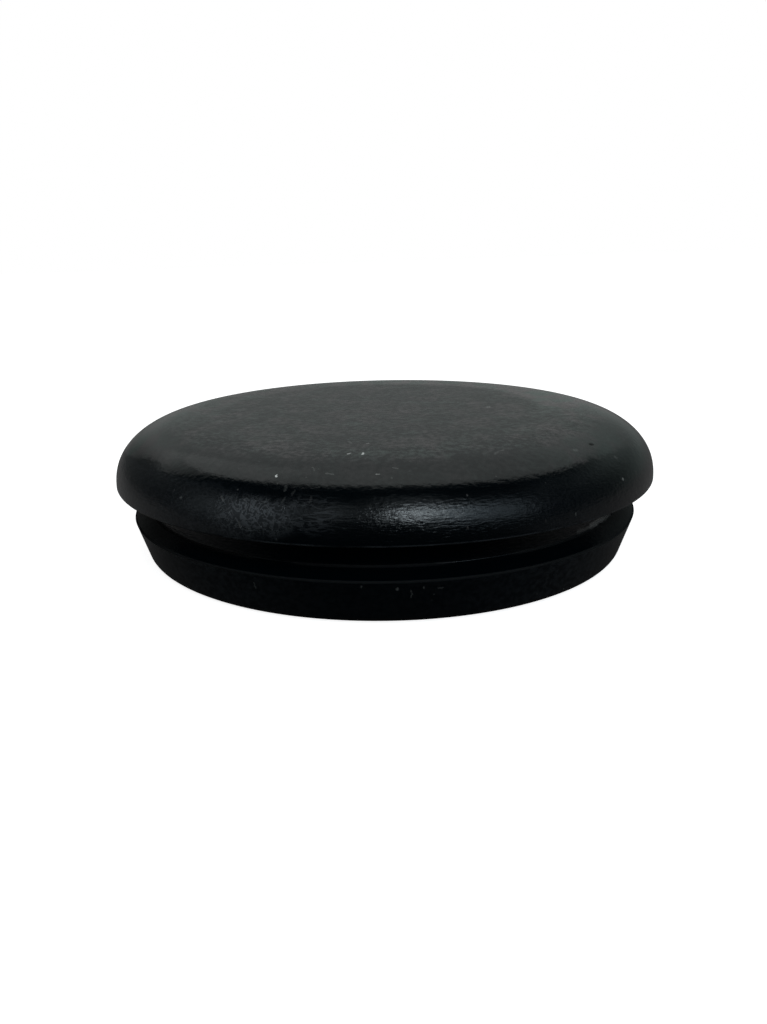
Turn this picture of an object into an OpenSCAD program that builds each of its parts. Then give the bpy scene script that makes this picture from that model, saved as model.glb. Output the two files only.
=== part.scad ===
// Blind rubber grommet: a closed plug that snaps into a round hole in sheet metal.
// It is one moulding, round about Z, and stands on the rim of its hollow underside.
// From the top down: a flat-topped flange with a full soft shoulder, the groove that
// takes the panel's edge, and the tapered lip that is pushed through the hole.

/* [Groove] */
// Diameter of the groove's core, which fills the hole in the panel
core_d = 44.45; // [38:0.05:60]
// Height of the groove at its core, which takes the panel's edge
groove_h = 2.5; // [1.2:0.1:4]
// Radius of the fillets at the groove's two roots
groove_fillet = 0.4; // [0.1:0.05:0.5]

/* [Flange] */
// How far the flange stands out past the core, all round
flange_overhang = 3.175; // [2:0.025:6]
// Height of the flange, from its underside to the flat top
flange_h = 5.7; // [4:0.1:8]
// Width of the soft shoulder between the flat top and the flange's edge
shoulder_w = 7.8; // [4:0.1:10]
// Fullness of the shoulder's curve: 2 is an ellipse, and more is squarer
shoulder_power = 2.2; // [2:0.05:3]
// Radius of the sharp lower edge, where the mould parts
flange_edge_round = 0.2; // [0.1:0.05:0.5]

/* [Lip] */
// How far the lip stands out past the core, all round
lip_overhang = 1.75; // [0.8:0.05:3]
// Height of the lip at the core, from the rim it stands on to the groove
lip_h = 4.5; // [3.5:0.1:8]
// How far the lip's top face falls from the core to its outer edge
lip_fall = 0.65; // [0.2:0.05:1.5]
// Radius of the lip's outer edge
lip_edge_round = 0.3; // [0.1:0.05:0.6]
// Taper of the lip's side, in degrees, which leads it into the hole
lip_taper = 18; // [0:1:25]
// Radius of the lip's foot
lip_foot_round = 1; // [0.3:0.1:2]

/* [Underside] */
// Wall between the groove's core and the hollow, at the hollow's mouth
skirt_wall = 4; // [2.5:0.1:6]
// Thickness of the closed web over the hollow
web_t = 4; // [1.5:0.1:6]
// Draft of the hollow's wall, in degrees
hollow_draft = 4; // [1:0.5:10]
// Radius of the fillet between the hollow's wall and its roof
hollow_fillet = 1.5; // [0.5:0.1:3]
// Radius of the rim's inner edge, at the hollow's mouth
rim_edge_round = 0.5; // [0.2:0.1:1]

/* [Hidden] */
$fn = 180;

// Steps in the shoulder's curve and in each small rounding
shoulder_steps = 24;
arc_steps = 6;

core_r = core_d / 2;
flange_r = core_r + flange_overhang;
lip_r = core_r + lip_overhang;
groove_top = lip_h + groove_h;
total_h = groove_top + flange_h;
lip_edge_z = lip_h - lip_fall;
foot_r = lip_r - lip_edge_z * tan(lip_taper);
roof_z = total_h - web_t;
mouth_r = core_r - skirt_wall;
roof_r = mouth_r - roof_z * tan(hollow_draft);

function unit(v) = v / norm(v);

// The corner b between its neighbours a and c, rounded to radius r.
// The arc uses at most half of the shorter side, so that two roundings never cross.
function rounded(a, b, c, r) =
    let (
        to_a = unit(a - b),
        to_c = unit(c - b),
        half = acos(to_a * to_c) / 2,
        reach = min(r / tan(half), min(norm(a - b), norm(c - b)) / 2),
        radius = reach * tan(half),
        centre = b + unit(to_a + to_c) * radius / sin(half),
        start = b + to_a * reach - centre,
        end = b + to_c * reach - centre,
        start_angle = atan2(start.y, start.x),
        turn = (atan2(end.y, end.x) - start_angle + 540) % 360 - 180
    )
    [for (i = [0 : arc_steps])
        let (angle = start_angle + turn * i / arc_steps)
        centre + radius * [cos(angle), sin(angle)]];

// The shoulder, from the flange's widest point up to the edge of the flat top.
// It is a quarter of a superellipse, so it leaves the edge upright and meets the top level.
function shoulder() =
    let (
        low = groove_top + flange_edge_round,
        rise = total_h - low,
        power = 2 / shoulder_power
    )
    [for (i = [0 : shoulder_steps])
        let (angle = 90 * i / shoulder_steps)
        [
            flange_r - shoulder_w + shoulder_w * pow(cos(angle), power),
            low + rise * pow(sin(angle), power)
        ]];

// Half of the section, right of the axis, counter-clockwise from the middle of the hollow's roof
function section() =
    let (
        roof_middle = [0, roof_z],
        roof_corner = [roof_r, roof_z],
        mouth = [mouth_r, 0],
        foot = [foot_r, 0],
        lip_edge = [lip_r, lip_edge_z],
        lip_root = [core_r, lip_h],
        flange_root = [core_r, groove_top],
        flange_edge = [flange_r, groove_top],
        curve = shoulder()
    )
    concat(
        [roof_middle],
        rounded(roof_middle, roof_corner, mouth, hollow_fillet),
        rounded(roof_corner, mouth, foot, rim_edge_round),
        rounded(mouth, foot, lip_edge, lip_foot_round),
        rounded(foot, lip_edge, lip_root, lip_edge_round),
        rounded(lip_edge, lip_root, flange_root, groove_fillet),
        rounded(lip_root, flange_root, flange_edge, groove_fillet),
        rounded(flange_root, flange_edge, flange_edge + [0, 2 * flange_edge_round], flange_edge_round),
        [for (i = [1 : shoulder_steps]) curve[i]],
        [[0, total_h]]
    );

module grommet() {
    color([0.16, 0.17, 0.17])
        rotate_extrude()
            polygon(section());
}

grommet();
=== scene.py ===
"""A blind rubber grommet: one black rubber moulding, standing on its rim on a white bench."""

import math

import bpy
import numpy as np
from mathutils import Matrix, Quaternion, Vector


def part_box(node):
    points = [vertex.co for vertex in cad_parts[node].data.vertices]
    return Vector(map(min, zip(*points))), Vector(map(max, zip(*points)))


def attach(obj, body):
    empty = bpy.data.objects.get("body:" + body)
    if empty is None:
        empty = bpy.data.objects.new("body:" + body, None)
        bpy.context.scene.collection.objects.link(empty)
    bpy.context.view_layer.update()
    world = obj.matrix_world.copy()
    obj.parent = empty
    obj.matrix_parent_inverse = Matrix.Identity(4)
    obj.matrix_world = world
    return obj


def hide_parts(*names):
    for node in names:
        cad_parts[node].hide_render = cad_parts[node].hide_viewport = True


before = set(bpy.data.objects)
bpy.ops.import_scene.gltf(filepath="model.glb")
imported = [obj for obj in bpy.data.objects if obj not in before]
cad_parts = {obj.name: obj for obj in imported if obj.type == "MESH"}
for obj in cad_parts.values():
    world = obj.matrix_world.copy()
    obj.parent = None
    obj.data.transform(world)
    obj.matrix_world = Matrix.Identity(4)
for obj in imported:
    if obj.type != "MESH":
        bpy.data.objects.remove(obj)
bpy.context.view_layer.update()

# ---------------------------------------------------------------- the moulding
# The grommet is one compression-moulded piece of black rubber, round about Z. From the
# top down it has a flat top with a full soft shoulder, the groove that takes the panel's
# edge, the tapered lip, and the hollow that lets the lip flex.

MM = 0.001
flange_overhang = 3.175 * MM
lip_overhang = 1.75 * MM
lip_fall = 0.65 * MM
lip_taper = math.radians(18)
groove_low_z = 4.5 * MM
groove_top_z = 7.0 * MM
shoulder_w = 7.8 * MM
shoulder_power = 2.2
skirt_wall = 4.0 * MM
web_t = 4.0 * MM
hollow_draft = math.radians(4)
flange_edge_round = 0.2 * MM
groove_fillet = 0.4 * MM
lip_root_fillet = 0.08 * MM
lip_edge_round = 0.04 * MM
lip_foot_round = 1.0 * MM
rim_edge_round = 0.5 * MM
hollow_fillet = 1.5 * MM
crown_fall = 0.03 * MM
crown_flat_r = 10 * MM

grommet_low, grommet_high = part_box("grommet")
top_z = grommet_high.z
flange_r = (grommet_high.x - grommet_low.x) / 2
core_r = flange_r - flange_overhang
lip_r = core_r + lip_overhang
lip_edge_z = groove_low_z - lip_fall
foot_r = lip_r - lip_edge_z * math.tan(lip_taper)
roof_z = top_z - web_t
mouth_r = core_r - skirt_wall
roof_r = mouth_r - roof_z * math.tan(hollow_draft)


def rounded_chain(corners, radii, arc_points):
    """A chain of corners with each inner corner replaced by an arc that is tangent to both sides.

    At a corner b with unit directions u and v to its neighbours, the half angle is h = acos(u.v) / 2,
    the arc starts r / tan(h) along u and ends as far along v, and its centre is r / sin(h) from b
    along the bisector.
    """
    a, b, c = corners[:-2], corners[1:-1], corners[2:]
    u = (a - b) / np.linalg.norm(a - b, axis=1, keepdims=True)
    v = (c - b) / np.linalg.norm(c - b, axis=1, keepdims=True)
    half = np.arccos(np.sum(u * v, axis=1)) / 2
    bisector = (u + v) / np.linalg.norm(u + v, axis=1, keepdims=True)
    centre = b + bisector * (radii / np.sin(half))[:, None]
    start = b + u * (radii / np.tan(half))[:, None] - centre
    end = b + v * (radii / np.tan(half))[:, None] - centre
    first = np.arctan2(start[:, 1], start[:, 0])
    turn = (np.arctan2(end[:, 1], end[:, 0]) - first + np.pi) % (2 * np.pi) - np.pi
    angle = first[:, None] + turn[:, None] * np.linspace(0, 1, arc_points)
    arcs = centre[:, None] + radii[:, None, None] * np.stack([np.cos(angle), np.sin(angle)], -1)
    return np.concatenate([corners[:1], arcs.reshape(-1, 2), corners[-1:]])


def closer(points, pitch):
    """The same chain of points, with every stretch longer than pitch cut into equal steps."""
    steps = np.maximum(np.ceil(np.linalg.norm(np.diff(points, axis=0), axis=1) / pitch), 1)
    place = np.repeat(np.arange(len(steps)), steps.astype(int))
    share = (np.arange(len(place)) - np.searchsorted(place, place)) / steps[place]
    inner = points[place] + (points[place + 1] - points[place]) * share[:, None]
    return np.concatenate([inner, points[-1:]])


def shoulder_curve(count):
    """A quarter of a superellipse from the flange's widest point to the flat top.

    With angle a from 0 to 90 degrees, r = flange_r - w + w cos(a)^p and z = low + rise sin(a)^p,
    where p = 2 / shoulder_power.
    """
    low_z = groove_top_z + flange_edge_round
    angle = np.linspace(0, np.pi / 2, count)
    r = flange_r - shoulder_w + shoulder_w * np.cos(angle) ** (2 / shoulder_power)
    z = low_z + (top_z - low_z) * np.sin(angle) ** (2 / shoulder_power)
    return np.stack([r, z], -1)


def crowned(points, flat_r, fall):
    """The points, with the top lowered outside flat_r as moulded rubber draws in while it cools.

    The drop is fall ((r - flat_r) / (w - flat_r))^2 at the top, where w is the radius at which the
    shoulder starts, and fades to none down at the flange's edge.
    """
    r, z = points.T
    share = np.clip((z - groove_top_z) / (top_z - groove_top_z), 0, 1)
    out = np.clip((r - flat_r) / (flange_r - shoulder_w - flat_r), 0, None)
    return np.stack([r, z - fall * out ** 2 * share ** 2], -1)


# Each corner of the section up to the flange's edge: its radius, its height and its rounding
corners = np.array([
    [0, roof_z, 0],
    [roof_r, roof_z, hollow_fillet],
    [mouth_r, 0, rim_edge_round],
    [foot_r, 0, lip_foot_round],
    [lip_r, lip_edge_z, lip_edge_round],
    [core_r, groove_low_z, lip_root_fillet],
    [core_r, groove_top_z, groove_fillet],
    [flange_r, groove_top_z, flange_edge_round],
    [flange_r, groove_top_z + flange_edge_round, 0],
])
arc_points = 9
shoulder_points = 64
pitch = 0.7 * MM
points_round = 448
upper = closer(np.concatenate([shoulder_curve(shoulder_points)[1:], [[0, top_z]]]), pitch)
lower = rounded_chain(corners[:, :2], corners[1:-1, 2], arc_points)[:-1]
lower = closer(np.concatenate([lower, upper[:1]]), pitch)[:-1]
profile = np.concatenate([lower, crowned(upper, crown_flat_r, crown_fall)])


def revolved(name, profile, count):
    """The surface x = r cos a, y = r sin a, z = z, over the profile's points (r, z) and angles a.

    The profile's first and last points lie on the axis, and each becomes one vertex.
    """
    angle = np.linspace(0, 2 * np.pi, count, endpoint=False)
    rings = profile[1:-1]
    grid = np.stack([
        rings[:, :1] * np.cos(angle),
        rings[:, :1] * np.sin(angle),
        np.repeat(rings[:, 1:], count, axis=1),
    ], -1)
    ends = np.array([[0, 0, profile[0, 1]], [0, 0, profile[-1, 1]]])
    index = np.arange(grid[..., 0].size).reshape(len(rings), count)
    after = np.roll(index, -1, axis=1)
    quads = np.stack([index[:-1], after[:-1], after[1:], index[1:]], -1).reshape(-1, 4)
    first, last = index.size, index.size + 1
    low_fan = np.stack([np.full(count, first), after[0], index[0]], -1)
    high_fan = np.stack([np.full(count, last), index[-1], after[-1]], -1)
    mesh = bpy.data.meshes.new(name)
    mesh.from_pydata(
        np.concatenate([grid.reshape(-1, 3), ends]),
        [],
        quads.tolist() + low_fan.tolist() + high_fan.tolist(),
    )
    mesh.shade_smooth()
    piece = bpy.data.objects.new(name, mesh)
    bpy.context.scene.collection.objects.link(piece)
    return piece


moulding = revolved("grommet_moulding", profile, points_round)


def node(tree, kind, inputs=None, **settings):
    """A shader node with its settings, and each input set to a value or joined to an output."""
    made = tree.nodes.new(kind)
    for name, value in settings.items():
        setattr(made, name, value)
    for name, value in (inputs or {}).items():
        if isinstance(value, bpy.types.NodeSocket):
            tree.links.new(value, made.inputs[name])
        else:
            made.inputs[name].default_value = value
    return made


def maths(tree, operation, *inputs):
    """The result of a Math node for that operation on the inputs, in order."""
    return node(tree, "ShaderNodeMath", dict(enumerate(inputs)), operation=operation).outputs[0]


def vectors(tree, operation, *inputs, result="Vector"):
    """The result of a Vector Math node for that operation on the inputs, in order."""
    made = node(tree, "ShaderNodeVectorMath", dict(enumerate(inputs)), operation=operation)
    return made.outputs[result]


def product(tree, *shares):
    """The shares multiplied together."""
    result = shares[0]
    for share in shares[1:]:
        result = maths(tree, "MULTIPLY", result, share)
    return result


def total(tree, *shares):
    """The shares added together."""
    result = shares[0]
    for share in shares[1:]:
        result = maths(tree, "ADD", result, share)
    return result


def greatest(tree, shares):
    """The greatest of the shares at each point."""
    result = shares[0]
    for share in shares[1:]:
        result = maths(tree, "MAXIMUM", result, share)
    return result


def ramp(tree, value, start, end, low=0.0, high=1.0):
    """The value carried smoothly from low, at start, to high, at end, and held level outside them."""
    return node(tree, "ShaderNodeMapRange", {
        "Value": value, "From Min": start, "From Max": end, "To Min": low, "To Max": high,
    }, interpolation_type="SMOOTHSTEP").outputs[0]


def falling(tree, value, start, end):
    """1 up to start and 0 from end on, with a smooth fall between them."""
    return ramp(tree, value, start, end, 1.0, 0.0)


def near(tree, value, middle, reach):
    """1 up to 0.4 of the reach on either side of the middle, and 0 from the reach on."""
    gap = maths(tree, "ABSOLUTE", maths(tree, "SUBTRACT", value, middle))
    return falling(tree, gap, 0.4 * reach, reach)


def opposite(tree, share):
    """What the share leaves of 1."""
    return maths(tree, "SUBTRACT", 1.0, share)


def stretched(tree, place, scale):
    """The place with each axis multiplied by its own scale."""
    return node(tree, "ShaderNodeMapping", {"Vector": place, "Scale": scale}).outputs["Vector"]


def noise(tree, place, scale, detail=3.0, distortion=0.0):
    """Soft noise about 0.5, with about that many lumps to a unit of the place."""
    return node(tree, "ShaderNodeTexNoise", {
        "Vector": place, "Scale": scale, "Detail": detail, "Distortion": distortion,
    }).outputs["Fac"]


def creases(tree, place, scale, width):
    """1 along the lines where that noise is at its middle, 0.5, and 0 where it is the width off that."""
    return near(tree, noise(tree, place, scale, 2.0, 0.5), 0.5, width)


def mixed(tree, share, first, second):
    """The first colour at a share of 0, and the second at 1."""
    return node(tree, "ShaderNodeMix", {0: share, 6: first, 7: second}, data_type="RGBA").outputs[2]


def far_from(tree, place, centre):
    """How far the place is from the centre."""
    return vectors(tree, "LENGTH", vectors(tree, "SUBTRACT", place, centre), result="Value")


def oval_gap(tree, place, middle, squash):
    """How far the place is from the middle, with heights counted squash times over."""
    x, y, z = middle
    return far_from(tree, stretched(tree, place, (1, 1, squash)), (x, y, z * squash))


def stroke(tree, place, start, end, width):
    """1 along the straight mark from start to end, and 0 from 0.6 of the width on either side of it.

    The nearest point of the mark is start + t (end - start), where t is the share of the way
    at which the place projects on to it, held between 0 and 1.
    """
    run = tuple(b - a for a, b in zip(start, end))
    length_squared = sum(part * part for part in run)
    offset = vectors(tree, "SUBTRACT", place, start)
    along = vectors(tree, "DOT_PRODUCT", offset, run, result="Value")
    share = maths(tree, "DIVIDE", along, length_squared)
    share = node(tree, "ShaderNodeClamp", {"Value": share}).outputs[0]
    shares = node(tree, "ShaderNodeCombineXYZ", {0: share, 1: share, 2: share}).outputs[0]
    nearest = vectors(tree, "MULTIPLY", shares, run)
    return falling(tree, far_from(tree, offset, nearest), 0.2 * width, 0.6 * width)


rubber = bpy.data.materials.new("black_rubber")
rubber.use_nodes = True
tree = rubber.node_tree
tree.nodes.clear()
mm = stretched(tree, node(tree, "ShaderNodeTexCoord").outputs["Object"], (1000, 1000, 1000))
axes = node(tree, "ShaderNodeSeparateXYZ", {"Vector": mm})
x_mm = axes.outputs["X"]
y_mm = axes.outputs["Y"]
height = axes.outputs["Z"]
radius = vectors(tree, "LENGTH", vectors(tree, "MULTIPLY", mm, (1, 1, 0)), result="Value")
across = maths(tree, "ABSOLUTE", x_mm)
flange_mm = flange_r / MM
core_mm = core_r / MM
lip_mm = lip_r / MM
lip_edge_mm = lip_edge_z / MM
root_mm = groove_low_z / MM + 0.02
groove_top_mm = groove_top_z / MM

# Bloom: the pale film that wax leaves as it comes out of the rubber. It covers the top down to
# a ragged edge on the shoulder. The pale band along the back of the rim is painted sheen.
on_top = ramp(tree, height, 12.0, 12.65)
clouds = noise(tree, mm, 0.16, 4.0)
blotches = noise(tree, stretched(tree, mm, (0.45, 0.3, 0.45)), 1.0, 3.0)
wisps = noise(tree, stretched(tree, mm, (0.35, 0.8, 0.5)), 1.0, 5.0, 0.6)
grain = noise(tree, mm, 2.4, 4.0)
top_film = total(
    tree,
    ramp(tree, clouds, 0.35, 0.65, 0.0, 0.06),
    ramp(tree, blotches, 0.35, 0.65, -0.03, 0.11),
    ramp(tree, wisps, 0.48, 0.7, 0.0, 0.2),
    ramp(tree, grain, 0.3, 0.7, -0.2, 0.28),
)
# Painted sheen: a pale band along the back of the top's rim, paler towards the right
back_rim_sheen = product(
    tree,
    ramp(tree, radius, 14.6, 16.2),
    ramp(tree, y_mm, -8.0, 4.0),
    ramp(tree, clouds, 0.2, 0.55, 0.3, 0.4),
    ramp(tree, x_mm, -12.0, 5.0, 0.65, 1.75),
    ramp(tree, height, 10.5, 12.4),
)
ragged_height = total(tree, height, ramp(tree, grain, 0.3, 0.7, -0.12, 0.12))
# Painted sheen: pale colour on the shoulder's left end, and a little on its right, down to a ragged edge
shoulder_end_sheen = product(
    tree,
    ramp(tree, total(tree, ragged_height, ramp(tree, across, 19.0, 24.0, 0.0, 0.8)), 10.95, 11.2),
    total(
        tree,
        ramp(tree, x_mm, -23.5, -15.0, 0.34, 0.01),
        product(tree, ramp(tree, x_mm, 9.0, 16.0, 0.0, 0.12), falling(tree, x_mm, 19.0, 23.0)),
    ),
)

# Rubs: a patch of the shoulder where the skin is finely crazed, and long fine scratches beside it.
# Each crease runs where its noise passes through the middle of its range.
ragged = product(tree, noise(tree, mm, 0.6, 4.0), 3.0)
patch_gap = oval_gap(tree, mm, (-9.7, -22.9, 9.105), 1.9)
patch = product(
    tree,
    falling(tree, total(tree, patch_gap, ragged), 2.2, 6.3),
    falling(tree, ragged_height, 9.6, 10.5),
)
streak_gap = oval_gap(tree, mm, (-5.2, -24.3, 9.25), 2.4)
streak = falling(tree, total(tree, streak_gap, ragged), 2.0, 5.6)
crazing = creases(tree, mm, 2.4, 0.075)
ripples = creases(tree, stretched(tree, mm, (0.7, 0.7, 3.2)), 0.9, 0.06)
scratches = noise(tree, stretched(tree, mm, (1.5, 1.5, 7.5)), 1.0, 3.0, 0.4)

# Dust, flecks and scratches, in millimetres: where each starts and ends, its width, and how
# white it is. The last three are a painted highlight on the corner of the groove. One pit lies by
# itself.
marks = [
    ((-2.5, -19.2, 12.56), (-2.3, -19.0, 12.59), 0.16, 0.7),
    ((-1.4, -19.35, 12.56), (-1.4, -19.05, 12.60), 0.20, 0.9),
    ((-7.8, -21.45, 11.47), (-7.8, -21.35, 11.50), 0.20, 0.9),
    ((-0.4, -22.4, 11.69), (-0.2, -22.35, 11.71), 0.14, 0.4),
    ((-1.1, -16.1, 12.68), (-0.9, -16.05, 12.68), 0.16, 0.4),
    ((10.3, -1.05, 12.70), (10.55, -1.0, 12.70), 0.24, 0.5),
    ((19.25, -15.9, 9.28), (19.3, -15.85, 9.28), 0.26, 0.18),
    ((-2.55, -15.1, 12.69), (-2.3, -16.0, 12.68), 0.30, 0.08),
    ((-5.1, -21.05, 12.00), (-4.95, -21.5, 11.84), 0.14, 0.06),
    ((-4.05, -21.9, 11.75), (-3.5, -22.1, 11.70), 0.14, 0.08),
    ((0.85, -21.65, 12.01), (1.25, -21.75, 11.96), 0.14, 0.07),
    ((8.65, -19.0, 12.27), (9.0, -18.45, 12.35), 0.20, 0.05),
    ((9.0, -18.45, 12.35), (9.45, -18.1, 12.37), 0.20, 0.05),
    ((15.3, -16.1, 11.78), (15.45, -16.0, 11.78), 0.44, 0.05),
    ((18.95, -14.45, 10.74), (19.0, -14.4, 10.74), 0.40, 0.04),
    ((-7.05, -22.45, 10.98), (-7.1, -22.75, 10.75), 0.26, 0.03),
    ((-6.4, -22.95, 10.73), (-6.55, -23.2, 10.48), 0.20, 0.02),
    ((-7.1, -23.25, 10.28), (-7.3, -23.4, 10.02), 0.20, 0.03),
    ((-5.1, -23.6, 10.42), (-5.25, -23.9, 10.09), 0.20, 0.02),
    ((-15.7, -19.35, 9.38), (-15.65, -19.4, 9.38), 0.30, 0.05),
    ((-12.1, -21.4, 9.93), (-11.9, -21.65, 9.76), 0.22, 0.05),
    ((-10.6, -22.95, 8.37), (-10.55, -23.0, 8.12), 0.22, 0.06),
    ((-9.95, -21.5, 2.99), (-9.9, -21.4, 2.60), 0.18, 0.04),
    ((1.0, -23.75, 3.28), (1.05, -23.75, 3.22), 0.24, 0.08),
    ((2.05, -23.65, 3.11), (2.15, -23.55, 2.83), 0.16, 0.05),
    ((2.15, -23.55, 2.83), (2.1, -23.45, 2.46), 0.16, 0.05),
    ((4.15, -23.4, 3.16), (4.5, -23.3, 3.18), 0.16, 0.04),
    # A painted highlight on the groove's corner, where it catches the light
    ((16.05, -15.4, 4.75), (17.3, -13.95, 4.72), 0.40, 0.06),
    ((17.4, -13.85, 4.75), (19.1, -11.35, 4.70), 0.60, 0.14),
    ((19.1, -11.35, 4.65), (19.95, -9.8, 4.60), 0.50, 0.10),
]
sway = node(tree, "ShaderNodeTexNoise", {"Vector": mm, "Scale": 2.5, "Detail": 2.0}).outputs["Color"]
sway = vectors(tree, "MULTIPLY_ADD", sway, (0.3, 0.3, 0.3), (-0.15, -0.15, -0.15))
swaying = vectors(tree, "ADD", mm, sway)
lint_and_groove_highlight = greatest(tree, [
    product(tree, stroke(tree, swaying, start, end, width), whiteness)
    for start, end, width, whiteness in marks
])
# The pit is painted black: bare rubber without bloom, and painted shade for a hollow that the mesh
# doesn't have
pit_with_painted_shade = stroke(tree, swaying, (16.9, -14.3, 11.81), (17.1, -14.15, 11.81), 0.42)
specks = node(tree, "ShaderNodeTexVoronoi", {"Vector": stretched(tree, mm, (1, 1, 0.5)), "Scale": 1.3})
chosen = node(tree, "ShaderNodeSeparateColor", {0: specks.outputs["Color"]}).outputs[0]
fine_dust = product(
    tree,
    falling(tree, specks.outputs["Distance"], 0.05, 0.14),
    ramp(tree, chosen, 0.5, 1.0, 0.0, 0.06),
    total(
        tree,
        ramp(tree, height, groove_top_mm + 0.3, groove_top_mm + 0.5),
        falling(tree, height, lip_edge_mm - 0.25, lip_edge_mm - 0.05),
    ),
)

# The rubbed skin and painted sheen: the crazed patch, the scratches, painted sheen on the left and right
# stretches of the flange's side, a weak haze on the lip's side that grows into painted sheen towards its
# ends, and the thin line that the mould's parting left along the flange's lower edge.
crazed = product(
    tree,
    patch,
    ramp(tree, height, 8.1, 9.3, 0.6, 1.0),
    total(tree, product(tree, crazing, 0.36), 0.16),
)
scratched = product(tree, streak, total(tree, product(tree, ripples, 0.16), 0.02))
# Painted sheen on the left and right stretches of the flange's side, with a faint crazed texture
side_sheen = product(
    tree,
    ramp(tree, height, groove_top_mm, groove_top_mm + 0.2),
    falling(tree, ragged_height, 10.4, 11.0),
    total(tree, product(tree, crazing, 0.03), 0.03),
    total(
        tree,
        ramp(tree, x_mm, -14.0, -8.0, 1.4, 0.0),
        product(tree, ramp(tree, x_mm, 9.0, 13.0, 0.0, 0.7), falling(tree, x_mm, 15.0, 19.0)),
    ),
)
parting = product(
    tree,
    falling(tree, height, groove_top_mm + 0.12, groove_top_mm + 0.24),
    ramp(tree, radius, flange_mm - 0.2, flange_mm - 0.07),
    ramp(tree, wisps, 0.35, 0.6, 0.03, 0.2),
)
# A weak haze on the lip's side, growing into painted sheen towards its left and right ends
lip_haze_and_sheen = product(
    tree,
    falling(tree, height, lip_edge_mm - 0.15, lip_edge_mm),
    ramp(tree, across, 2.0, 18.0, 0.011, 0.055),
    ramp(tree, grain, 0.35, 0.65, 0.3, 1.7),
)
# Wear, together with the painted sheen on the flange's and lip's sides
wear_and_sheen = total(tree, crazed, scratched, side_sheen, parting, lip_haze_and_sheen)

black = (0.0003, 0.0014, 0.0023, 1)
green_bloom_and_sheen = (0.086, 0.114, 0.102, 1)
red_bloom_and_sheen = (0.114, 0.104, 0.104, 1)
rubbed_and_sheen = (0.105, 0.118, 0.13, 1)
dust_and_highlight_white = (0.62, 0.64, 0.62, 1)
# The bloom's tones, which also colour the painted sheen on the back of the rim and the shoulder's ends
bloom_and_sheen = mixed(tree, ramp(tree, blotches, 0.4, 0.6), green_bloom_and_sheen, red_bloom_and_sheen)
on_shoulder = ramp(tree, ragged_height, 11.05, 11.35, 0.0, 0.2)
bloom_and_sheen_share = total(
    tree,
    product(tree, top_film, maths(tree, "MAXIMUM", on_top, on_shoulder)),
    back_rim_sheen,
    shoulder_end_sheen,
)
colour = mixed(tree, bloom_and_sheen_share, black, bloom_and_sheen)
colour = mixed(tree, wear_and_sheen, colour, rubbed_and_sheen)
colour = mixed(tree, maths(tree, "MAXIMUM", lint_and_groove_highlight, fine_dust), colour, dust_and_highlight_white)
colour = mixed(tree, pit_with_painted_shade, colour, (0, 0, 0, 1))

# The groove was moulded against polished steel. The lip's edge is worn dull, and so is the
# corner at the lip's root, but for two stretches of it that still shine. The bare skin just
# under the bloom shines more on the left.
polished = product(
    tree,
    ramp(tree, height, lip_edge_mm + 0.05, lip_edge_mm + 0.13),
    falling(tree, height, groove_top_mm - 0.4, groove_top_mm - 0.1),
    falling(tree, across, 12.0, 19.0),
    opposite(tree, near(tree, height, root_mm, 0.3)),
)
lip_edge = product(
    tree,
    near(tree, height, lip_edge_mm, 0.16),
    ramp(tree, radius, lip_mm - 0.195, lip_mm - 0.115),
)
lip_top = product(
    tree,
    falling(tree, height, root_mm + 0.08, root_mm + 0.28),
    ramp(tree, height, lip_edge_mm - 0.15, lip_edge_mm + 0.05),
    ramp(tree, across, 16.0, 20.0),
)
shiny_root = total(tree, near(tree, x_mm, 7.5, 4.0), near(tree, x_mm, -8.5, 2.4))
dull_root = product(
    tree,
    near(tree, height, root_mm, 0.12),
    falling(tree, radius, core_mm + 0.125, core_mm + 0.275),
    opposite(tree, shiny_root),
)
bare_shoulder = product(tree, near(tree, height, 10.8, 0.6), ramp(tree, x_mm, -15.0, -7.0, 1.0, 0.0))
rough = total(
    tree,
    ramp(tree, clouds, 0.3, 0.7, -0.02, 0.02),
    product(tree, polished, -0.15),
    ramp(tree, height, 10.1, 10.7, 0.22, 0.15),
    ramp(tree, height, 12.2, 12.6, 0.0, 0.06),
    product(tree, patch, 0.1),
    product(tree, streak, 0.04),
    product(tree, bare_shoulder, -0.08),
    product(tree, pit_with_painted_shade, 0.5),
    product(tree, lip_top, 0.4),
    product(tree, lip_edge, 0.6),
    product(tree, dull_root, 0.6),
)

# Relief, in millimetres: fine scratches on the side, the patch's ridges and the skin's grain
relief = total(
    tree,
    product(tree, scratches, falling(tree, height, 9.9, 11.2), 0.028),
    product(tree, crazing, patch, 0.02),
    product(tree, grain, ramp(tree, height, 10.6, 11.4, 0.024, 0.011)),
)
bump = node(tree, "ShaderNodeBump", {"Height": relief, "Strength": 1.0, "Distance": MM})
shader = node(tree, "ShaderNodeBsdfPrincipled", {
    "Base Color": colour,
    "Roughness": rough,
    "IOR": 1.5,
    "Normal": bump.outputs["Normal"],
})
node(tree, "ShaderNodeOutputMaterial", {"Surface": shader.outputs["BSDF"]})
moulding.data.materials.append(rubber)

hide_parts("grommet")
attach(moulding, "root")

# ---------------------------------------------------------------- the bench
# A wide white sheet under the grommet. The camera sees it white, with the grommet's shadow,
# and the rubber's gloss shows it dimmed, brighter behind than in front.

bench_half = 1.5
bench_mesh = bpy.data.meshes.new("bench")
bench_mesh.from_pydata(
    [(x * bench_half, y * bench_half, 0) for x, y in ((-1, -1), (1, -1), (1, 1), (-1, 1))],
    [],
    [(0, 1, 2, 3)],
)
bench = bpy.data.objects.new("bench", bench_mesh)
bpy.context.scene.collection.objects.link(bench)


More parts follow.
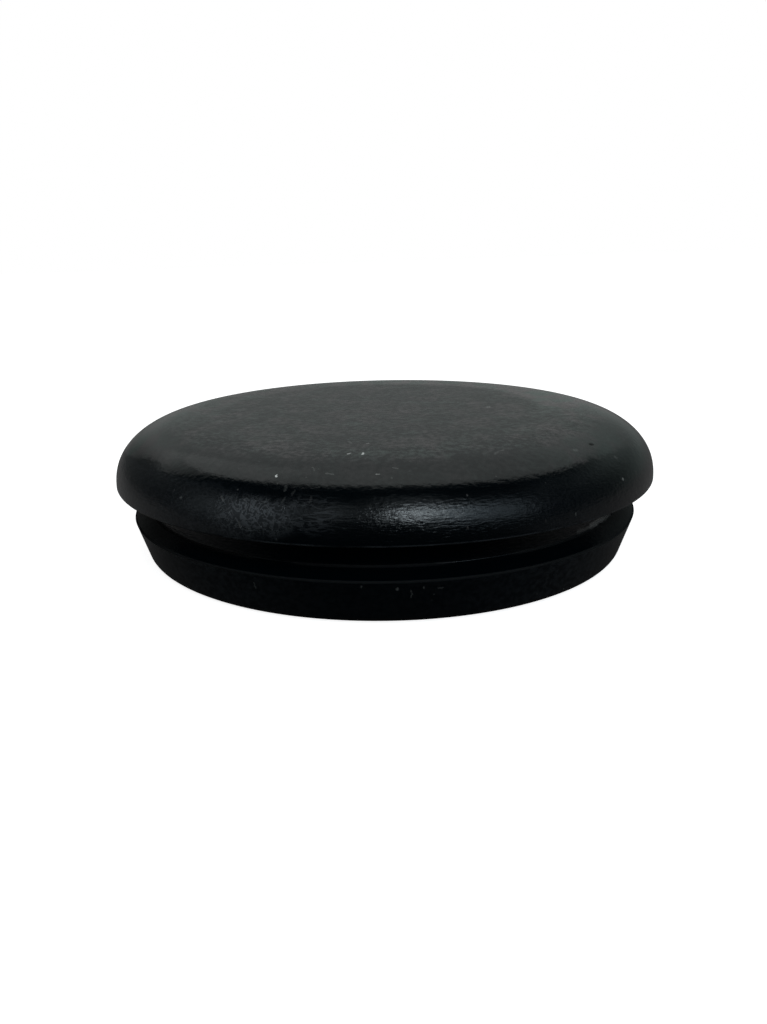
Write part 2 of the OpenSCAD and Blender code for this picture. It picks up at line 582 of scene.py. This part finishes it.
def straight(tree, value, start, end, low, high):
    """The value carried evenly from low, at start, to high, at end, and held level outside them."""
    return node(tree, "ShaderNodeMapRange", {
        "Value": value, "From Min": start, "From Max": end, "To Min": low, "To Max": high,
    }).outputs[0]


paper = bpy.data.materials.new("white_paper")
paper.use_nodes = True
tree = paper.node_tree
tree.nodes.clear()
rays = node(tree, "ShaderNodeLightPath").outputs
seen = maths(tree, "MAXIMUM", rays["Is Camera Ray"], rays["Is Transmission Ray"])
place = node(tree, "ShaderNodeTexCoord").outputs["Object"]
along = node(tree, "ShaderNodeSeparateXYZ", {"Vector": place}).outputs
outward = ramp(tree, maths(tree, "ABSOLUTE", along["X"]), 0.022, 0.04, 0.0, 0.055)
gloss_level = straight(tree, total(tree, along["Y"], outward), -0.03, 0.06, 0.0, 0.12)

# The white is the sheet's own glow and the lamps' light on it, which carries the shadow
lit = node(tree, "ShaderNodeBsdfDiffuse", {"Color": (0.5, 0.5, 0.5, 1)}).outputs[0]
glow = node(tree, "ShaderNodeEmission", {"Strength": 0.85}).outputs[0]
white = node(tree, "ShaderNodeAddShader", {0: lit, 1: glow}).outputs[0]
dim = node(tree, "ShaderNodeBsdfDiffuse", {"Color": (0.04, 0.04, 0.04, 1)}).outputs[0]
in_gloss = node(tree, "ShaderNodeEmission", {"Strength": gloss_level}).outputs[0]
unseen = node(tree, "ShaderNodeMixShader", {0: rays["Is Glossy Ray"], 1: dim, 2: in_gloss}).outputs[0]
sheet = node(tree, "ShaderNodeMixShader", {0: seen, 1: unseen, 2: white}).outputs[0]
node(tree, "ShaderNodeOutputMaterial", {"Surface": sheet})
bench_mesh.materials.append(paper)

# ---------------------------------------------------------------- the light
# A white backdrop that the rubber's gloss shows dimmed, brightest low and behind. A round soft
# light hangs over and behind the grommet, a window stands in front of it to the right, dimmer
# above and at its right side, and weak wide panels stand on the left and behind.

world = bpy.data.worlds.new("studio")
bpy.context.scene.world = world
world.use_nodes = True
tree = world.node_tree
tree.nodes.clear()
rays = node(tree, "ShaderNodeLightPath").outputs
direction = node(tree, "ShaderNodeTexCoord").outputs["Generated"]
way = node(tree, "ShaderNodeSeparateXYZ", {"Vector": direction}).outputs
low_wall = straight(tree, way["Z"], 0.135, 0.165, 0.205, 0.172)
high_wall = straight(tree, way["Z"], 0.28, 0.46, 0.0, 0.13)
from_left = total(tree, way["X"], product(tree, way["Z"], 0.5))
gloss_level = product(
    tree,
    total(tree, low_wall, high_wall),
    falling(tree, way["Z"], 0.42, 0.8),
    ramp(tree, way["Y"], -0.12, 1.0),
    ramp(tree, from_left, -0.5, -0.25, 0.31, 1.0),
)
wall = mixed(tree, ramp(tree, way["X"], 0.2, 0.8), (0.94, 1, 0.98, 1), (0.82, 1, 0.95, 1))
in_gloss = node(tree, "ShaderNodeBackground", {"Color": wall, "Strength": gloss_level}).outputs[0]
room = node(tree, "ShaderNodeBackground", {"Color": (1, 1, 1, 1), "Strength": 0.5}).outputs[0]
backdrop = node(tree, "ShaderNodeBackground", {"Color": (1, 1, 1, 1), "Strength": 1.0}).outputs[0]
unseen = node(tree, "ShaderNodeMixShader", {0: rays["Is Glossy Ray"], 1: room, 2: in_gloss}).outputs[0]
seen = maths(tree, "MAXIMUM", rays["Is Camera Ray"], rays["Is Transmission Ray"])
studio = node(tree, "ShaderNodeMixShader", {0: seen, 1: unseen, 2: backdrop}).outputs[0]
node(tree, "ShaderNodeOutputWorld", {"Surface": studio})


def lamp(name, shape, place, target, size, radiance, colour, spread=180):
    """A soft area light of that width and height, turned to the target.

    Its power is pi times the area times the radiance, where an ellipse's area is pi/4 of its box.
    """
    light = bpy.data.lights.new(name, "AREA")
    light.shape = shape
    light.size, light.size_y = size
    area = size[0] * size[1] * (math.pi / 4 if shape == "ELLIPSE" else 1)
    light.energy = radiance * math.pi * area
    light.color = colour
    light.spread = math.radians(spread)
    made = bpy.data.objects.new(name, light)
    bpy.context.scene.collection.objects.link(made)
    made.location = place
    made.rotation_euler = (Vector(target) - Vector(place)).to_track_quat("-Z", "Y").to_euler()


def around(bearing, rise, distance):
    """The point at that distance from the origin, by its bearing from +X and its rise, in degrees.

    With bearing b, rise e and distance d it is (d cos e cos b, d cos e sin b, d sin e).
    """
    bearing, rise = math.radians(bearing), math.radians(rise)
    level = distance * math.cos(rise)
    return (level * math.cos(bearing), level * math.sin(bearing), distance * math.sin(rise))


lamplight = (0.94, 1, 0.98)
daylight = (0.82, 0.94, 1.0)
shade = (0.7, 0.87, 1.0)
over = (0.035, 0.5, 0.5)
below = (over[0], over[1], 0)
lamp("overhead", "ELLIPSE", over, below, (0.96, 0.985), 0.32, lamplight, 122)

# Each pane's name, bearing and rise in degrees, width, height, radiance and colour
middle = (0, 0, 0.009)
pane_distance = 0.5
panes = [
    ("window_left", -79, 36, 0.085, 0.086, 7.6, daylight),
    ("window_middle", -70.5, 36.6, 0.13, 0.17, 3.6, daylight),
    ("window_top", -73, 60, 0.13, 0.16, 0.33, daylight),
    ("window_right", -58, 30, 0.12, 0.23, 1.2, shade),
    ("window_edge", -41, 26, 0.18, 0.25, 0.62, shade),
    ("side_near", -115, 39.5, 0.14, 0.20, 0.38, daylight),
    ("side_far", -160, 22.5, 0.28, 0.27, 0.20, daylight),
    ("panel_back", 135, 46, 0.20, 0.32, 0.14, lamplight),
]
for name, bearing, rise, width, high, radiance, colour in panes:
    place = around(bearing, rise, pane_distance)
    lamp(name, "RECTANGLE", place, middle, (width, high), radiance, colour)

# ---------------------------------------------------------------- the camera
# Close and a little above, as someone looks at a small part held under a lamp. It is aimed a
# little to the left, and the lens shift brings the grommet back to the middle of the frame.

camera_data = bpy.data.cameras.new("camera")
camera_data.lens = 31.256
camera_data.shift_x = 0.0586
camera_data.clip_start = 0.005
camera = bpy.data.objects.new("camera", camera_data)
bpy.context.scene.collection.objects.link(camera)
bpy.context.scene.camera = camera
camera_place = Vector((-0.464, -85.635, 27.734)) * MM
camera_aim = Vector((-5.701, 0, 2.244)) * MM
camera_roll = math.radians(1.972)
camera.location = camera_place
turn = (camera_aim - camera_place).to_track_quat("-Z", "Y")
camera.rotation_euler = (turn @ Quaternion((0, 0, 1), -camera_roll)).to_euler()

bpy.context.scene.view_settings.view_transform = "Standard"
